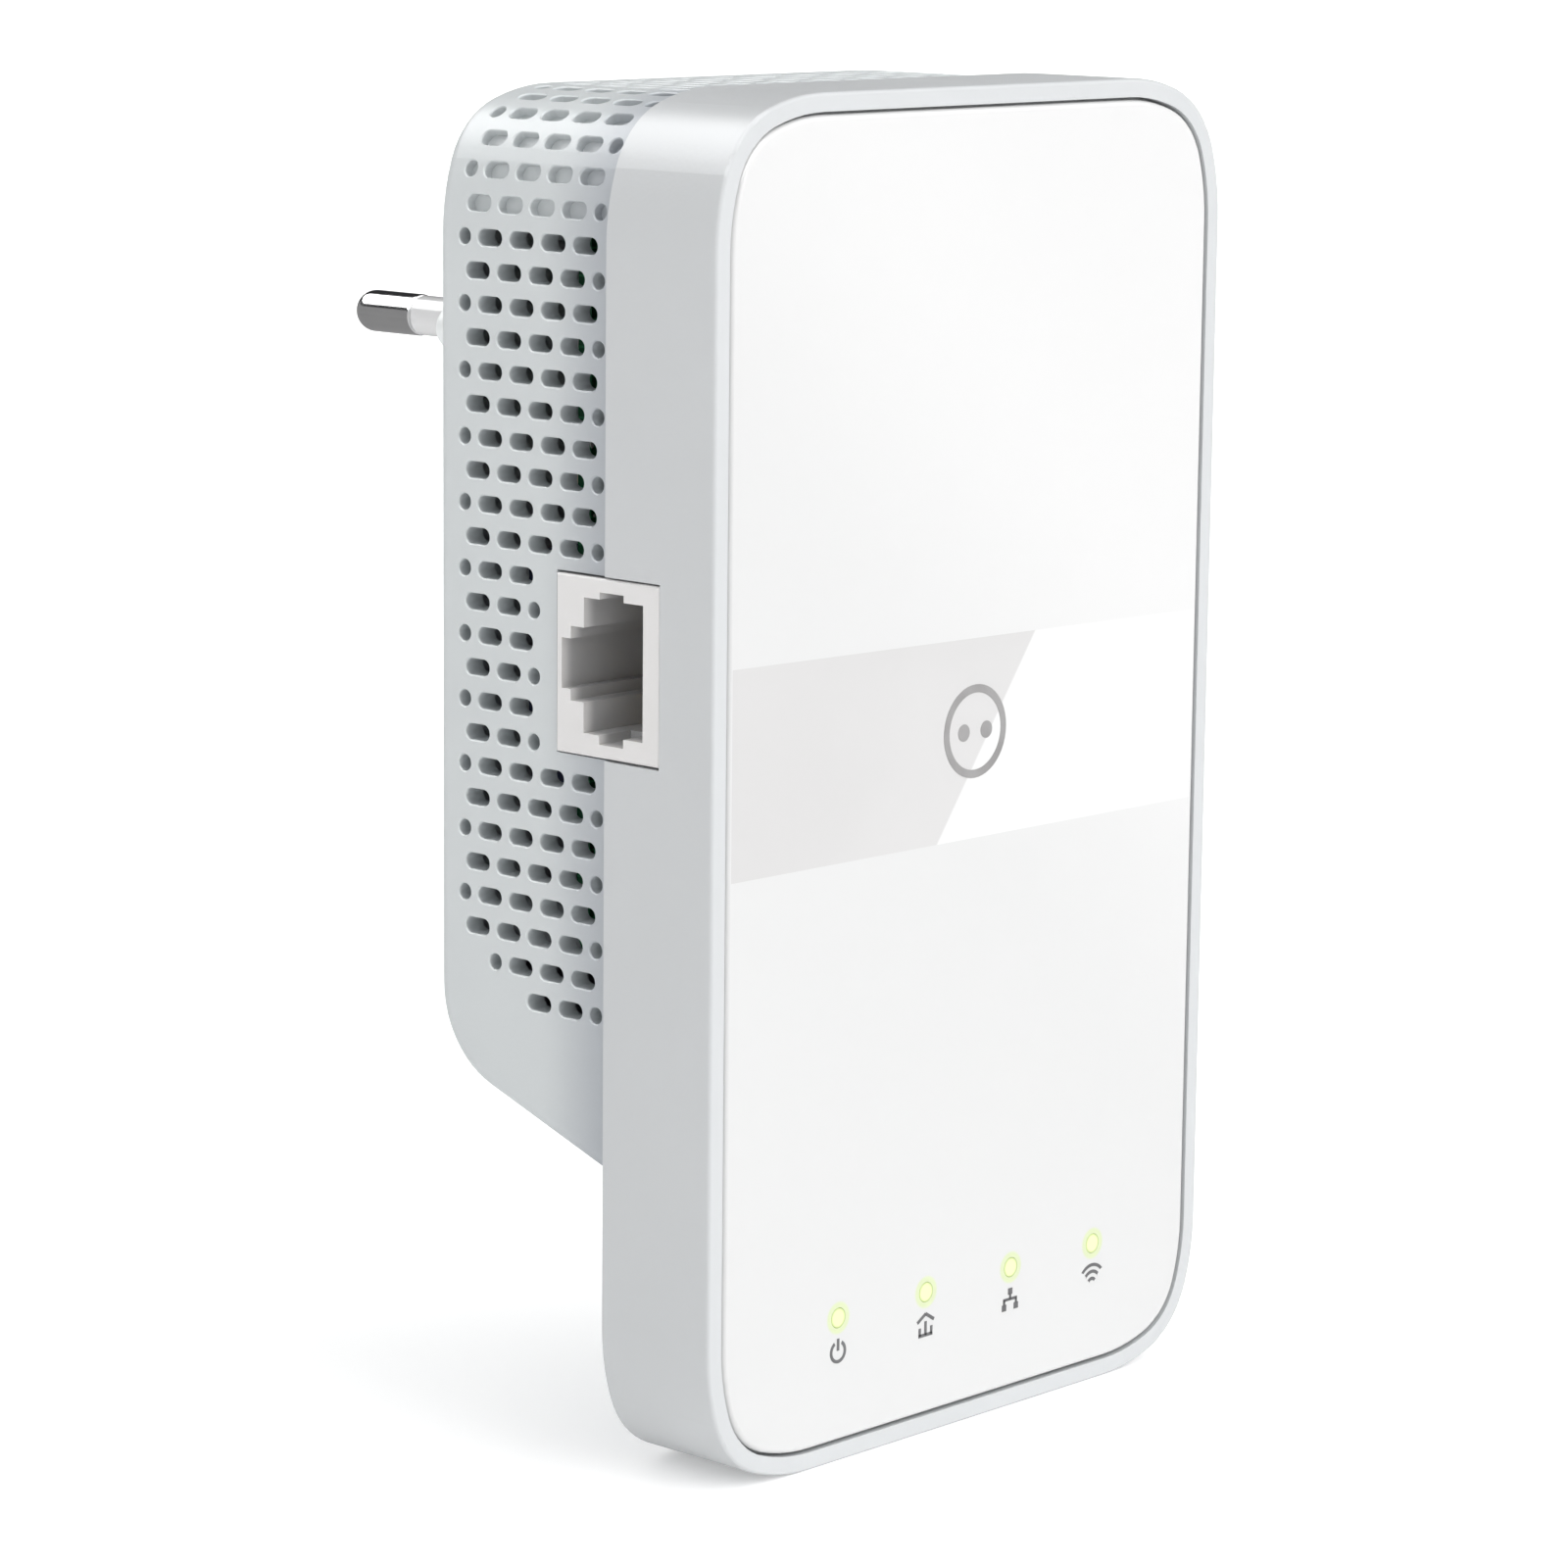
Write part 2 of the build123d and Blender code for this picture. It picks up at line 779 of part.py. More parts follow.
def transformer_winding():
    """The taped winding round the core's middle leg."""
    first, second, up = transformer_windows()
    across = (first[0] + 0.1, second[1] - 0.1)
    inner_up = (up[0] + 0.1, up[1] - 0.1)
    body = block(across, (power_board_back, power_board_back + winding_thickness), inner_up)
    body = fillet(body.edges().filter_by(Axis.Z), 1.5)
    front = power_board_back + core_lift - 0.1
    leg = block((first[1] - 0.1, second[0] + 0.1), (front, front + core_thickness + 0.2), up)
    return body - leg


def line_choke():
    """A wound ring lying on the power board."""
    x, z = choke_middle
    depths = (power_board_back, power_board_back + choke_thickness)
    ring = rod_y(x, z, choke_radius, *depths) - rod_y(x, z, choke_bore, *depths)
    return fillet(ring.edges().filter_by(GeomType.CIRCLE), choke_round)


def boxed_part(x, z, width, height, thickness, rounding):
    """A boxed component on the back of the power board."""
    depths = (power_board_back, power_board_back + thickness)
    return fillet(back_edges(block((x, x + width), depths, (z, z + height))), rounding)


def rating_label():
    across = around(0, label_width)
    body = block(across, (back_depth, back_depth + label_thickness), label_heights)
    return fillet(body.edges().filter_by(Axis.Y), 1)


def case_parts():
    return {
        "front_shell": front_shell(),
        "front_plate": front_plate(),
        "gloss_band": gloss_band(),
        "rear_shell": rear_shell(),
        "rating_label": rating_label(),
        "case_screws": case_screws(),
    }


def plug_parts():
    left = -pin_spacing / 2
    right = pin_spacing / 2
    return {
        "plug_base": plug_base(),
        "live_pin": pin(left),
        "neutral_pin": pin(right),
        "live_pin_sleeve": pin_sleeve(left),
        "neutral_pin_sleeve": pin_sleeve(right),
        "live_terminal": terminal(left),
        "neutral_terminal": terminal(right),
    }


def button_parts():
    flange_face = inner_side - fit_gap - flange_web
    return {
        "pair_button": button(pair_height),
        "pair_plunger": plunger(pair_height, flange_face),
        "pair_switch": tact_switch(pair_height),
        "wifi_button": button(wifi_height),
        "wifi_plunger": plunger(wifi_height, flange_face),
        "wifi_switch": tact_switch(wifi_height),
        "reset_plunger": plunger(reset_height, reset_end),
        "reset_switch": tact_switch(reset_height),
    }


def main_board_parts():
    parts = {name: chip(*sizes) for name, sizes in chips.items()}
    parts["main_board"] = main_board()
    parts["board_screws"] = board_screws()
    parts["ethernet_jack"] = ethernet_jack()
    parts["ethernet_contacts"] = ethernet_contacts()
    parts["status_leds"] = status_leds()
    parts["light_guides"] = light_guides()
    parts["light_shroud"] = light_shroud()
    parts["thermal_pad"] = thermal_pad()
    parts["heat_sink"] = heat_sink()
    parts["radio_shield"] = radio_shield()
    parts["left_antenna"] = antenna(-1)
    parts["right_antenna"] = antenna(1)
    parts["board_header"] = board_header()
    parts["header_pins"] = header_pins()
    return parts


def power_board_parts():
    parts = {name: boxed_part(*sizes) for name, sizes in boxed_parts.items()}
    parts["power_board"] = power_board()
    parts["power_board_screws"] = power_board_screws()
    parts["insulation_sheet"] = insulation_sheet()
    parts["bulk_capacitors"] = Compound([can(*sizes) for sizes in bulk_cans])
    parts["output_capacitors"] = Compound([can(*sizes) for sizes in output_cans])
    parts["line_fuse"] = lying_rod(*fuse_body)
    parts["surge_varistor"] = lying_rod(*varistor_body)
    parts["transformer_core"] = transformer_core()
    parts["transformer_winding"] = transformer_winding()
    parts["line_choke"] = line_choke()
    return parts


def main():
    os.makedirs("parts", exist_ok=True)
    to_plug_face = Pos(0, -plug_face, -plug_height)
    groups = (case_parts, plug_parts, button_parts, main_board_parts, power_board_parts)
    for group in groups:
        for name, shape in group().items():
            export_step(to_plug_face * shape, f"parts/{name}.step")


main()
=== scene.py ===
import math
import bpy
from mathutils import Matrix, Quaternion, Vector


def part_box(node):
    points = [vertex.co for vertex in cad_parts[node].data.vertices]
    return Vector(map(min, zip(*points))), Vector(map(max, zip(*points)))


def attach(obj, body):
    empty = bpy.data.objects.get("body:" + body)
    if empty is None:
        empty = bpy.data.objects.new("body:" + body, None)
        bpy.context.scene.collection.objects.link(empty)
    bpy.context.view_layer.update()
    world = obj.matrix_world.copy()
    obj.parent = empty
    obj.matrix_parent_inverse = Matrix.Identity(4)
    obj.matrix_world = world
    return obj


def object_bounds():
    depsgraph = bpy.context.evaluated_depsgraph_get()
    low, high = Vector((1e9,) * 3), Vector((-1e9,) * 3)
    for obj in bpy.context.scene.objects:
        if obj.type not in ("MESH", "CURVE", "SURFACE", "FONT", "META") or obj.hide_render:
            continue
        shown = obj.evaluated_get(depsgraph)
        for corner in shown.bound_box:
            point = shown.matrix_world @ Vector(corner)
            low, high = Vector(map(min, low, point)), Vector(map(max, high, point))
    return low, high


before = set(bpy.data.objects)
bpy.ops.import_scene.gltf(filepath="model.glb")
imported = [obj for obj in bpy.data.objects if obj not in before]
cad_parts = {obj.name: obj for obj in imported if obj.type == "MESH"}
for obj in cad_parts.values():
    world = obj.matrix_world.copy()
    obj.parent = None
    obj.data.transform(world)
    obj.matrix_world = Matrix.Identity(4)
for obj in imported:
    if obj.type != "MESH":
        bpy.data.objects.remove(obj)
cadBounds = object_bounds()
mm = 0.001
print("frame loaded:", len(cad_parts), "nodes")


# places read from the frame

def middleOf(node):
    low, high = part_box(node)
    return (Vector(low) + Vector(high)) / 2


faceCentre = middleOf("front_plate")
faceCentre.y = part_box("front_plate")[0][1]
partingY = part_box("front_shell")[1][1]
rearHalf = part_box("rear_shell")[1][0]
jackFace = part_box("ethernet_jack")[0][0]
guideLow, guideHigh = (Vector(corner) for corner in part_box("light_guides"))
lights = {
    "count": 4, "guideRadius": 1.3 * mm, "haloRadius": 1.65 * mm,
    "coreEdge": 0.95 * mm, "coreRadius": 0.6 * mm,
}
firstLightX = guideLow.x + lights["guideRadius"]
lastLightX = guideHigh.x - lights["guideRadius"]
lightPitch = (lastLightX - firstLightX) / (lights["count"] - 1)
lightZ = (guideLow.z + guideHigh.z) / 2
lightXs = [firstLightX + n * lightPitch for n in range(lights["count"])]


# small helpers for node trees

def addNode(tree, kind, x, y, **settings):
    node = tree.nodes.new(kind)
    node.location = (x, y)
    for key, value in settings.items():
        setattr(node, key, value)
    return node


def setInputs(node, **values):
    for key, value in values.items():
        node.inputs[key.replace("_", " ")].default_value = value


def mathNode(tree, operation, first, second, x, y, clamp=False):
    node = addNode(tree, "ShaderNodeMath", x, y, operation=operation, use_clamp=clamp)
    for index, value in enumerate((first, second)):
        if isinstance(value, (int, float)):
            node.inputs[index].default_value = value
        elif value is not None:
            tree.links.new(value, node.inputs[index])
    return node.outputs[0]


def stepMask(tree, value, start, end, x, y):
    node = addNode(tree, "ShaderNodeMapRange", x, y, interpolation_type="SMOOTHSTEP")
    node.inputs["From Min"].default_value = start
    node.inputs["From Max"].default_value = end
    tree.links.new(value, node.inputs["Value"])
    return node.outputs["Result"]


def mixColour(tree, mask, first, second, x, y):
    node = addNode(tree, "ShaderNodeMix", x, y, data_type="RGBA")
    tree.links.new(mask, node.inputs["Factor"])
    for socket, value in ((node.inputs[6], first), (node.inputs[7], second)):
        if isinstance(value, tuple):
            socket.default_value = (*value, 1)
        else:
            tree.links.new(value, socket)
    return node.outputs[2]


def objectAxes(tree, x, y):
    coords = addNode(tree, "ShaderNodeTexCoord", x - 200, y)
    split = addNode(tree, "ShaderNodeSeparateXYZ", x, y)
    tree.links.new(coords.outputs["Object"], split.inputs[0])
    return split.outputs


def newGroup(name, inputs, outputs):
    tree = bpy.data.node_groups.new(name, "ShaderNodeTree")
    for label, kind, value in inputs:
        socket = tree.interface.new_socket(label, in_out="INPUT", socket_type=kind)
        socket.default_value = value
    for label, kind in outputs:
        tree.interface.new_socket(label, in_out="OUTPUT", socket_type=kind)
    start = addNode(tree, "NodeGroupInput", -900, 0)
    end = addNode(tree, "NodeGroupOutput", 600, 0)
    return tree, start, end


# shared effects

grainNoise = {"heightDetail": 3, "driftDetail": 4, "low": 0.3, "high": 0.7}


def buildMouldedGrain():
    tree, start, end = newGroup(
        "mouldedGrain",
        [("Grain Scale", "NodeSocketFloat", 2500.0), ("Drift Scale", "NodeSocketFloat", 40.0)],
        [("Height", "NodeSocketFloat"), ("Drift", "NodeSocketFloat")],
    )
    coords = addNode(tree, "ShaderNodeTexCoord", -900, 300)
    layers = (
        ("Height", "Grain Scale", grainNoise["heightDetail"], 200),
        ("Drift", "Drift Scale", grainNoise["driftDetail"], -200),
    )
    for label, source, detail, y in layers:
        noise = addNode(tree, "ShaderNodeTexNoise", -500, y)
        noise.inputs["Detail"].default_value = detail
        tree.links.new(coords.outputs["Object"], noise.inputs["Vector"])
        tree.links.new(start.outputs[source], noise.inputs["Scale"])
        masked = stepMask(tree, noise.outputs["Fac"], grainNoise["low"], grainNoise["high"], -200, y)
        tree.links.new(masked, end.inputs[label])
    return tree


streakNoise = {"detail": 2.0, "low": 0.12, "high": 0.42}


def buildDrawnStreaks():
    tree, start, end = newGroup(
        "drawnStreaks",
        [("Stretch", "NodeSocketVector", (3000.0, 60.0, 3000.0)), ("Drift Scale", "NodeSocketFloat", 120.0)],
        [("Height", "NodeSocketFloat"), ("Drift", "NodeSocketFloat")],
    )
    coords = addNode(tree, "ShaderNodeTexCoord", -900, 300)
    stretched = addNode(tree, "ShaderNodeVectorMath", -650, 200, operation="MULTIPLY")
    tree.links.new(coords.outputs["Object"], stretched.inputs[0])
    tree.links.new(start.outputs["Stretch"], stretched.inputs[1])
    fine = addNode(tree, "ShaderNodeTexNoise", -400, 200)
    setInputs(fine, Scale=1.0, Detail=streakNoise["detail"])
    tree.links.new(stretched.outputs[0], fine.inputs["Vector"])
    tree.links.new(fine.outputs["Fac"], end.inputs["Height"])
    slow = addNode(tree, "ShaderNodeTexNoise", -400, -200)
    tree.links.new(coords.outputs["Object"], slow.inputs["Vector"])
    tree.links.new(start.outputs["Drift Scale"], slow.inputs["Scale"])
    both = mathNode(tree, "MULTIPLY", fine.outputs["Fac"], slow.outputs["Fac"], -150, -100)
    masked = stepMask(tree, both, streakNoise["low"], streakNoise["high"], 100, -100)
    tree.links.new(masked, end.inputs["Drift"])
    return tree


def buildToneShift():
    tree, start, end = newGroup(
        "toneShift",
        [
            ("Base", "NodeSocketColor", (0.8, 0.8, 0.8, 1)),
            ("Shade", "NodeSocketColor", (0.7, 0.7, 0.7, 1)),
            ("Mask", "NodeSocketFloat", 0.5),
            ("Rough", "NodeSocketFloat", 0.4),
            ("Spread", "NodeSocketFloat", 0.05),
        ],
        [("Color", "NodeSocketColor"), ("Roughness", "NodeSocketFloat")],
    )
    mask = start.outputs["Mask"]
    colour = mixColour(tree, mask, start.outputs["Base"], start.outputs["Shade"], -200, 150)
    tree.links.new(colour, end.inputs["Color"])
    spread = mathNode(tree, "MULTIPLY", mask, start.outputs["Spread"], -400, -150)
    rough = mathNode(tree, "ADD", start.outputs["Rough"], spread, -200, -150, clamp=True)
    tree.links.new(rough, end.inputs["Roughness"])
    return tree


def buildFiredSpecks():
    tree, start, end = newGroup(
        "firedSpecks",
        [("Scale", "NodeSocketFloat", 900.0), ("Size", "NodeSocketFloat", 0.2)],
        [("Mask", "NodeSocketFloat")],
    )
    coords = addNode(tree, "ShaderNodeTexCoord", -900, 300)
    cells = addNode(tree, "ShaderNodeTexVoronoi", -500, 100)
    tree.links.new(coords.outputs["Object"], cells.inputs["Vector"])
    tree.links.new(start.outputs["Scale"], cells.inputs["Scale"])
    inside = mathNode(tree, "LESS_THAN", cells.outputs["Distance"], start.outputs["Size"], -200, 100)
    tree.links.new(inside, end.inputs["Mask"])
    return tree


groups = {
    "grain": buildMouldedGrain(),
    "streaks": buildDrawnStreaks(),
    "tone": buildToneShift(),
    "specks": buildFiredSpecks(),
}
print("shared effects built:", len(groups))


# one function makes every finish, and a few add their own pattern

def placeGroup(tree, key, x, y):
    return addNode(tree, "ShaderNodeGroup", x, y, node_tree=groups[key])


def makeFinish(name, look):
    material = bpy.data.materials.new(name)
    material.use_nodes = True
    tree = material.node_tree
    shader = tree.nodes["Principled BSDF"]
    setInputs(
        shader,
        Metallic=look.get("metallic", 0.0),
        IOR=look.get("ior", 1.5),
        Coat_Weight=look.get("coat", 0.0),
        Coat_Roughness=look.get("coatRough", 0.05),
        Transmission_Weight=look.get("clear", 0.0),
        Emission_Strength=look.get("glow", 0.0),
    )
    if "stretch" in look:
        pattern = placeGroup(tree, "streaks", -900, 0)
        pattern.inputs["Stretch"].default_value = look["stretch"]
    else:
        pattern = placeGroup(tree, "grain", -900, 0)
        pattern.inputs["Grain Scale"].default_value = look["grain"]
    pattern.inputs["Drift Scale"].default_value = look["drift"]
    tone = placeGroup(tree, "tone", -600, 100)
    tone.inputs["Base"].default_value = (*look["base"], 1)
    tone.inputs["Shade"].default_value = (*look["shade"], 1)
    tone.inputs["Rough"].default_value = look["rough"]
    tone.inputs["Spread"].default_value = look["spread"]
    tree.links.new(pattern.outputs["Drift"], tone.inputs["Mask"])
    colour = tone.outputs["Color"]
    if "specks" in look:
        specks = placeGroup(tree, "specks", -600, 400)
        setInputs(specks, Scale=look["specks"][0], Size=look["specks"][1])
        colour = mixColour(tree, specks.outputs["Mask"], colour, look["specks"][2], -350, 300)
    if "pattern" in look:
        colour = look["pattern"](tree, colour, shader)
    tree.links.new(colour, shader.inputs["Base Color"])
    tree.links.new(tone.outputs["Roughness"], shader.inputs["Roughness"])
    bump = addNode(tree, "ShaderNodeBump", -300, -300)
    setInputs(bump, Strength=look.get("bump", 0.2), Distance=look["relief"])
    tree.links.new(pattern.outputs["Height"], bump.inputs["Height"])
    tree.links.new(bump.outputs["Normal"], shader.inputs["Normal"])
    return material


# reach and colour of the painted shade before the parting line
partingPaintedShade = {"reach": 9 * mm, "parting": (0.398, 0.42, 0.447)}
# where the painted shade inside the vent walls lies, and its colour
ventPaintedShade = {
    "low": -59.3 * mm, "high": 12.0 * mm, "back": -20.0 * mm, "rim": 0.2 * mm, "deep": 0.55 * mm,
    "tone": (0.46, 0.49, 0.505),
}


def paintedRearShade(tree, colour, shader):
    # painted shade: the rear shell's colour darkens over its last few millimetres before the parting line,
    # standing in for the shade beside the step to the front shell
    across, along, up = objectAxes(tree, -1500, 700)
    near = stepMask(tree, along, partingY + partingPaintedShade["reach"], partingY, -650, 700)
    shaded = mixColour(tree, near, colour, partingPaintedShade["parting"], -450, 700)
    # and painted shade inside its side walls, where the vent holes go through: the hole walls and the inside
    # are coloured darker, standing in for shade in the holes
    aside = mathNode(tree, "ABSOLUTE", across, None, -1300, 400)
    fromSide = mathNode(tree, "SUBTRACT", rearHalf, aside, -1100, 400)
    inWall = stepMask(tree, fromSide, ventPaintedShade["rim"], ventPaintedShade["deep"], -900, 400)
    below = mathNode(tree, "LESS_THAN", up, ventPaintedShade["high"], -900, 200)
    above = mathNode(tree, "GREATER_THAN", up, ventPaintedShade["low"], -900, 50)
    ahead = mathNode(tree, "LESS_THAN", along, ventPaintedShade["back"], -900, -100)
    rows = mathNode(tree, "MULTIPLY", below, above, -700, 100)
    zone = mathNode(tree, "MULTIPLY", rows, ahead, -550, 50)
    ventShadeMask = mathNode(tree, "MULTIPLY", inWall, zone, -400, 300)
    return mixColour(tree, ventShadeMask, shaded, ventPaintedShade["tone"], -200, 600)


# where the painted shade in the socket starts and how dark it gets
cavityPaintedShade = {
    "lip": (0.1 * mm, 1.6 * mm), "depth": (0.5 * mm, 9 * mm),
    "near": (0.42, 0.42, 0.425), "far": (0.34, 0.34, 0.345),
}


def paintedCavityShade(tree, colour, shader):
    # painted shade: the socket is coloured darker inwards from its face, standing in for the shade inside the
    # cavity
    inward = mathNode(tree, "SUBTRACT", objectAxes(tree, -1100, 700)[0], jackFace, -900, 700)
    step = stepMask(tree, inward, *cavityPaintedShade["lip"], -700, 800)
    deep = stepMask(tree, inward, *cavityPaintedShade["depth"], -700, 600)
    inside = mixColour(tree, deep, cavityPaintedShade["near"], cavityPaintedShade["far"], -450, 600)
    return mixColour(tree, step, colour, inside, -200, 700)


def fromNearestLight(tree, x, y):
    # distance in the face's plane to the nearest status light's centre
    axes = objectAxes(tree, x, y)
    shifted = mathNode(tree, "SUBTRACT", axes[0], firstLightX, x + 200, y + 100)
    place = mathNode(tree, "DIVIDE", shifted, lightPitch, x + 350, y + 100)
    nearest = mathNode(tree, "ROUND", place, None, x + 500, y + 100)
    nearest = mathNode(tree, "MAXIMUM", nearest, 0, x + 650, y + 100)
    nearest = mathNode(tree, "MINIMUM", nearest, lights["count"] - 1, x + 800, y + 100)
    offset = mathNode(tree, "MULTIPLY", nearest, lightPitch, x + 950, y + 200)
    across = mathNode(tree, "SUBTRACT", shifted, offset, x + 1100, y + 100)
    up = mathNode(tree, "SUBTRACT", axes[2], lightZ, x + 1100, y - 100)
    acrossSquare = mathNode(tree, "MULTIPLY", across, across, x + 1250, y + 100)
    upSquare = mathNode(tree, "MULTIPLY", up, up, x + 1250, y - 100)
    square = mathNode(tree, "ADD", acrossSquare, upSquare, x + 1400, y)
    return axes, mathNode(tree, "SQRT", square, None, x + 1500, y)


# ramp bounds and colour of the painted shade at the plate's lower left, and colour of the painted glow round
# the status lights
platePaintedLight = {
    "high": faceCentre.z + 45 * mm, "low": faceCentre.z - 10 * mm,
    "lowerLeftShade": (0.628, 0.63, 0.63), "paintedGlow": (0.60, 0.665, 0.42),
}


def plateGlowAndShade(tree, colour, shader):
    # painted glow: a pale ring of light coloured round each status light, standing in for light from the lit
    # guide spreading in the plate
    axes, away = fromNearestLight(tree, -1900, 700)
    paintedGlow = stepMask(tree, away, lights["haloRadius"], lights["guideRadius"], -300, 700)
    # painted shade: the plate's colour is a shade greyer at its lower left than at its top, standing in for
    # how the light falls across it
    slant = mathNode(tree, "ADD", axes[2], axes[0], -800, 300)
    lowerLeftShade = stepMask(tree, slant, platePaintedLight["high"], platePaintedLight["low"], -600, 300)
    toned = mixColour(tree, lowerLeftShade, colour, platePaintedLight["lowerLeftShade"], -350, 400)
    return mixColour(tree, paintedGlow, toned, platePaintedLight["paintedGlow"], -150, 700)


# where the painted reflection's slanting edge lies, and its lighter colour
split = {
    "point": (8.34 * mm, 11.53 * mm), "normal": (0.808, -0.589), "soft": 0.15 * mm,
    "paintedReflection": (0.71, 0.71, 0.71),
}


def paintedBandReflection(tree, colour, shader):
    # painted reflection: a lighter half to the right of a slanting line, standing in for a studio light's
    # reflection in the glossy band
    axes = objectAxes(tree, -1300, 700)
    across = mathNode(tree, "SUBTRACT", axes[0], faceCentre.x + split["point"][0], -1050, 800)
    right = mathNode(tree, "MULTIPLY", across, split["normal"][0], -900, 800)
    rise = mathNode(tree, "SUBTRACT", axes[2], faceCentre.z + split["point"][1], -1050, 600)
    down = mathNode(tree, "MULTIPLY", rise, split["normal"][1], -900, 600)
    side = mathNode(tree, "ADD", right, down, -700, 700)
    paintedReflection = stepMask(tree, side, -split["soft"], split["soft"], -500, 700)
    return mixColour(tree, paintedReflection, colour, split["paintedReflection"], -300, 700)


glowTone = {
    "depth": 1.2 * mm, "edge": (0.30, 0.42, 0.05), "core": (0.95, 1.0, 0.52), "stem": (0.12, 0.17, 0.03),
}


def guideGlow(tree, colour, shader):
    # lit at the front tip, palest in the middle
    axes, away = fromNearestLight(tree, -2000, 700)
    tip = stepMask(tree, axes[1], faceCentre.y + glowTone["depth"], faceCentre.y, -650, 500)
    core = stepMask(tree, away, lights["coreEdge"], lights["coreRadius"], -650, 900)
    face = mixColour(tree, core, glowTone["edge"], glowTone["core"], -450, 900)
    lit = mixColour(tree, tip, glowTone["stem"], face, -250, 800)
    tree.links.new(lit, shader.inputs["Emission Color"])
    return colour


traces = {
    "scale": 240.0, "gap": 0.03, "smooth": 0.2, "length": 1.7, "width": 0.3, "tone": (0.05, 0.30, 0.13),
    "padScale": 330.0, "padSize": 0.12, "padTone": (0.62, 0.62, 0.58),
}


def boardTraces(tree, colour, shader):
    # copper runs showing through the mask, and a scatter of tinned pads
    coords = addNode(tree, "ShaderNodeTexCoord", -1500, 700)
    turned = addNode(tree, "ShaderNodeMapping", -1300, 700)
    turned.inputs["Rotation"].default_value = (math.radians(90), 0, 0)
    tree.links.new(coords.outputs["Object"], turned.inputs["Vector"])
    runs = addNode(tree, "ShaderNodeTexBrick", -1050, 800)
    setInputs(
        runs,
        Scale=traces["scale"],
        Mortar_Size=traces["gap"],
        Mortar_Smooth=traces["smooth"],
        Brick_Width=traces["length"],
        Row_Height=traces["width"],
    )
    tree.links.new(turned.outputs[0], runs.inputs["Vector"])
    traced = mixColour(tree, runs.outputs["Fac"], colour, traces["tone"], -700, 800)
    pads = addNode(tree, "ShaderNodeTexVoronoi", -1050, 450)
    pads.inputs["Scale"].default_value = traces["padScale"]
    tree.links.new(coords.outputs["Object"], pads.inputs["Vector"])
    tinned = mathNode(tree, "LESS_THAN", pads.outputs["Distance"], traces["padSize"], -700, 450)
    return mixColour(tree, tinned, traced, traces["padTone"], -350, 700)


stripe = {"start": 0.9 * mm, "full": 0.8 * mm, "tone": (0.62, 0.64, 0.66)}


def canStripe(tree, colour, shader):
    # the pale minus stripe along the top of each sleeved can
    along = objectAxes(tree, -1100, 700)[1]
    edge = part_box("bulk_capacitors")[1][1]
    band = stepMask(tree, along, edge - stripe["start"], edge - stripe["full"], -700, 700)
    return mixColour(tree, band, colour, stripe["tone"], -350, 700)


tape = {"pitch": 1.5 * mm, "edge": 0.14 * mm, "core": 0.06 * mm, "tone": (0.52, 0.38, 0.05)}


def tapeBands(tree, colour, shader):
    # darker seams where one turn of tape laps the next
    along = objectAxes(tree, -1100, 700)[2]
    wrap = mathNode(tree, "PINGPONG", along, tape["pitch"], -850, 700)
    seam = stepMask(tree, wrap, tape["edge"], tape["core"], -650, 700)
    return mixColour(tree, seam, colour, tape["tone"], -350, 700)


labelPrint = {"edge": 1.2 * mm, "line": 0.25 * mm, "rows": 4, "rowThinner": 3, "ink": (0.42, 0.44, 0.45)}


def printedFrame(tree, colour, shader):
    # a plain ruled frame with three blank ruled rows
    low, high = (Vector(corner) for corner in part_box("rating_label"))
    axes = objectAxes(tree, -1500, 700)
    middle = (low + high) / 2
    halfWide, halfTall = ((high - low)[axis] / 2 - labelPrint["edge"] for axis in (0, 2))
    line = labelPrint["line"]
    across = mathNode(tree, "SUBTRACT", axes[0], middle.x, -1250, 800)
    across = mathNode(tree, "ABSOLUTE", across, None, -1100, 800)
    upright = mathNode(tree, "SUBTRACT", axes[2], middle.z, -1250, 400)
    upright = mathNode(tree, "ABSOLUTE", upright, None, -1100, 400)

    def within(less, y):
        wide = mathNode(tree, "LESS_THAN", across, halfWide - less, -900, y + 100)
        tall = mathNode(tree, "LESS_THAN", upright, halfTall - less, -900, y - 50)
        return mathNode(tree, "MULTIPLY", wide, tall, -750, y)

    inside, core = within(0, 650), within(line, 300)
    rule = mathNode(tree, "SUBTRACT", inside, core, -600, 500)
    rows = mathNode(tree, "PINGPONG", upright, halfTall / labelPrint["rows"], -750, 50)
    thin = mathNode(tree, "LESS_THAN", rows, line / labelPrint["rowThinner"], -600, 50)
    ruled = mathNode(tree, "MULTIPLY", thin, core, -450, 150)
    both = mathNode(tree, "MAXIMUM", rule, ruled, -400, 400)
    return mixColour(tree, both, colour, labelPrint["ink"], -200, 600)


